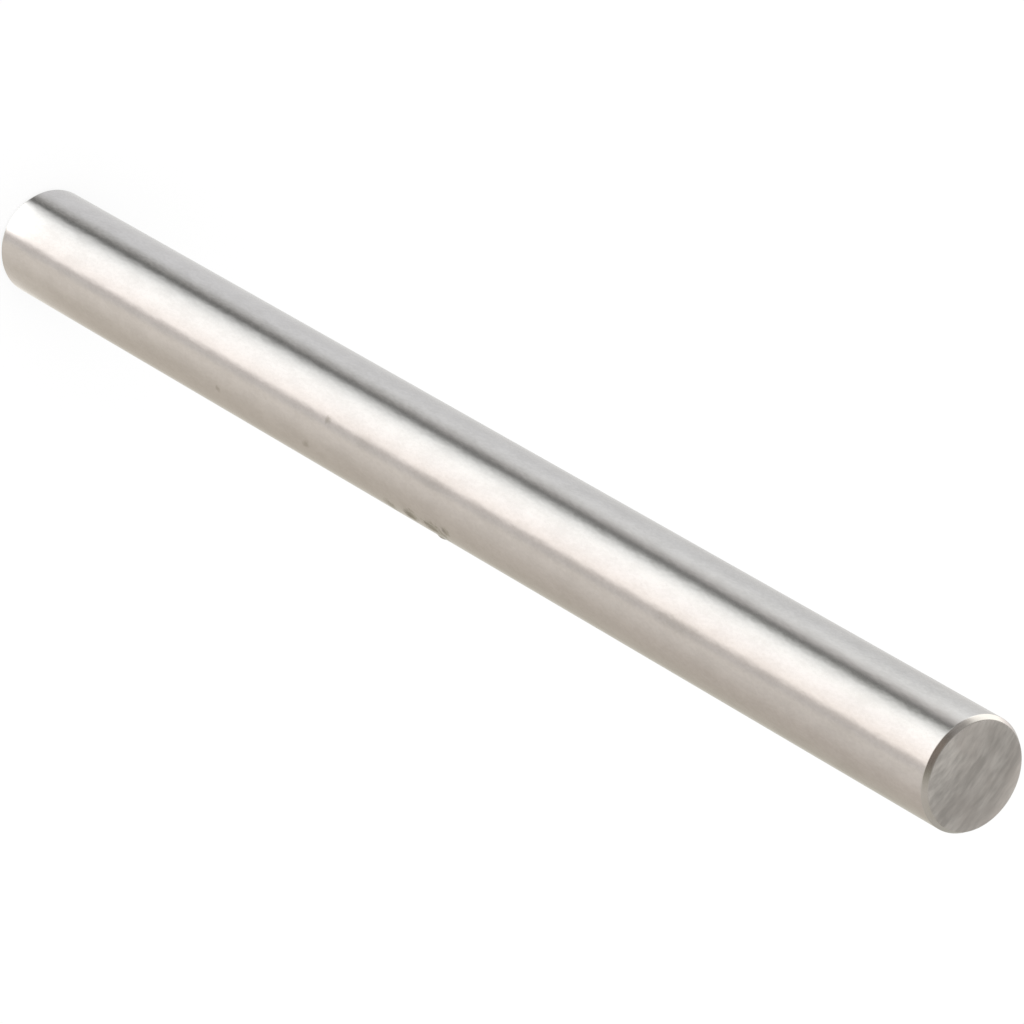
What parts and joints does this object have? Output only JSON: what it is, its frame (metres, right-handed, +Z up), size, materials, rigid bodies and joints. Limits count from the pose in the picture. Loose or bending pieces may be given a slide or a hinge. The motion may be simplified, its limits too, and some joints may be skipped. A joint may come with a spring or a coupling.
{
  "type": "plug gauge",
  "caption": "Plain cylindrical pin plug gauge: a slim ground and lapped steel rod with a small bevel round each flat end, standing on one end.",
  "frame": {"origin": "centre of the lower end face, which the pin stands on", "axes": "+Z up the pin's axis; the handling knocks are near mid height, on the +X side turned a little towards -Y"},
  "size_m": [0.0038, 0.0038, 0.05],
  "materials": {
    "lapped_steel": "ground and lapped, satin, with a faint grain round the pin and straight grinding lines on the ends"
  },
  "bodies": {
    "root": {"gauge_pin": "lapped_steel"}
  },
  "joints": []
}
